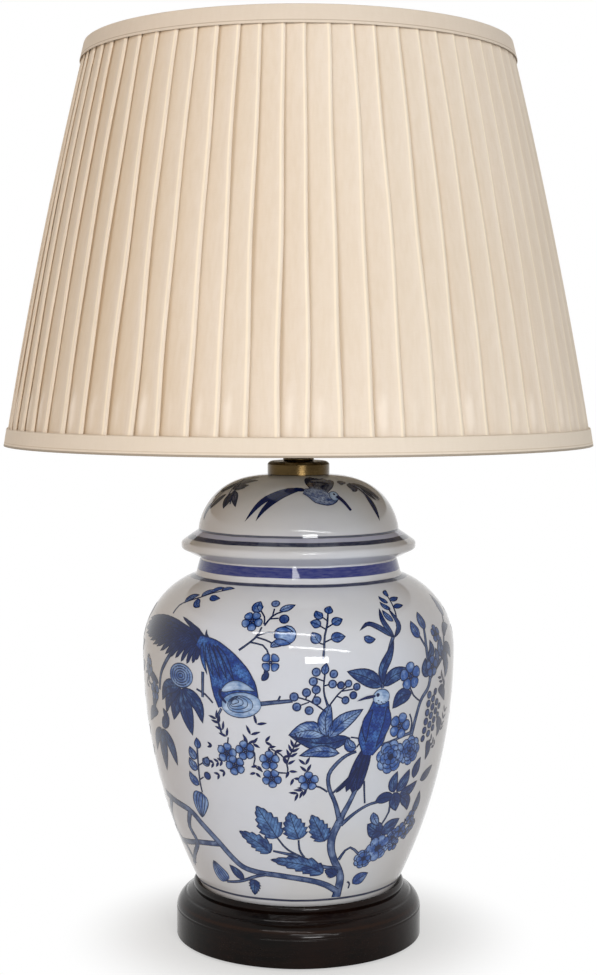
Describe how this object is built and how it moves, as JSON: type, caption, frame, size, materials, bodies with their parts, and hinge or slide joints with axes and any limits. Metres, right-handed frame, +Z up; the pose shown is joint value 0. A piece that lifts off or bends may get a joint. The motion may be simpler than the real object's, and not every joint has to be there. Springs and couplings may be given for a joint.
{
  "type": "ginger jar table lamp",
  "caption": "Blue-and-white porcelain ginger jar lamp on a turned wooden stand, with a harp, a turn-switch socket and a knife-pleated empire shade under a ball finial.",
  "frame": {"origin": "centre of the lamp's underside, on the surface it stands on", "axes": "+Z up along the rod, -Y to the front (the switch's side), +X to the right seen from the front"},
  "size_m": [0.4058, 0.4058, 0.6406],
  "materials": {
    "felt": "matte felt",
    "dark_wood": "satin, near-black stain",
    "black_plastic": "satin",
    "zinc_steel": "zinc plated",
    "rubber": "matte",
    "porcelain": "clear gloss glaze over blue painting",
    "antique_brass": "aged satin",
    "socket_brass": "plain satin",
    "liner_card": "matte",
    "moulded_block": "satin",
    "frosted_glass": "frosted white",
    "bulb_cap_metal": "satin",
    "frame_wire": "cream paint",
    "lining_film": "matte white film",
    "shade_cloth": "pleated silk-like cloth",
    "band_cloth": "folded cloth band"
  },
  "bodies": {
    "base": {"felt_pad": "felt", "wooden_stand": "dark_wood", "cord_bushing": "black_plastic", "big_washer": "zinc_steel", "spring_washer": "zinc_steel", "base_nut": "zinc_steel", "threaded_rod": "zinc_steel", "floor_plug": "rubber", "jar_body": "porcelain", "jar_lid": "porcelain", "cap_gasket": "rubber", "vase_cap": "antique_brass", "lamp_neck": "antique_brass", "harp_saddle": "antique_brass", "socket_cap": "socket_brass", "socket_set_screw": "zinc_steel", "socket_shell": "socket_brass", "socket_liner": "liner_card", "socket_block": "moulded_block", "screw_shell": "bulb_cap_metal", "centre_contact": "socket_brass", "terminal_screws": "socket_brass"},
    "switch": {"switch_shaft": "socket_brass", "switch_knob": "black_plastic"},
    "bulb": {"bulb_glass": "frosted_glass", "bulb_cap": "bulb_cap_metal", "bulb_insulator": "black_plastic", "bulb_contact": "bulb_cap_metal"},
    "harp": {"harp_wire": "antique_brass"},
    "sleeve_left": {"harp_sleeve_left": "antique_brass"},
    "sleeve_right": {"harp_sleeve_right": "antique_brass"},
    "swivel": {"harp_stud": "antique_brass"},
    "shade": {"shade_spider": "frame_wire", "bottom_ring": "frame_wire", "shade_lining": "lining_film", "pleated_cover": "shade_cloth", "top_band": "band_cloth", "bottom_band": "band_cloth"},
    "finial": {"finial": "antique_brass"}
  },
  "joints": [
    {"name": "switch_turn", "type": "hinge", "parent": "base", "child": "switch", "pos_m": [0, 0, 0.3781], "axis": [0, -1, 0], "continuous": true},
    {"name": "bulb_lift", "type": "slide", "parent": "base", "child": "bulb", "axis": [0, 0, 1], "range_m": [0, 0.03]},
    {"name": "harp_lift", "type": "slide", "parent": "base", "child": "harp", "axis": [0, 0, 1], "range_m": [0, 0.03]},
    {"name": "sleeve_left_slide", "type": "slide", "parent": "harp", "child": "sleeve_left", "axis": [0, 0, 1], "range_m": [0, 0.01]},
    {"name": "sleeve_right_slide", "type": "slide", "parent": "harp", "child": "sleeve_right", "axis": [0, 0, 1], "range_m": [0, 0.01]},
    {"name": "shade_turn", "type": "hinge", "parent": "harp", "child": "swivel", "pos_m": [0, 0, 0.6065], "axis": [0, 0, 1], "continuous": true},
    {"name": "shade_lift", "type": "slide", "parent": "swivel", "child": "shade", "axis": [0, 0, 1], "range_m": [0, 0.29]},
    {"name": "finial_off", "type": "slide", "parent": "shade", "child": "finial", "axis": [0, 0, 1], "range_m": [0, 0.02]}
  ]
}
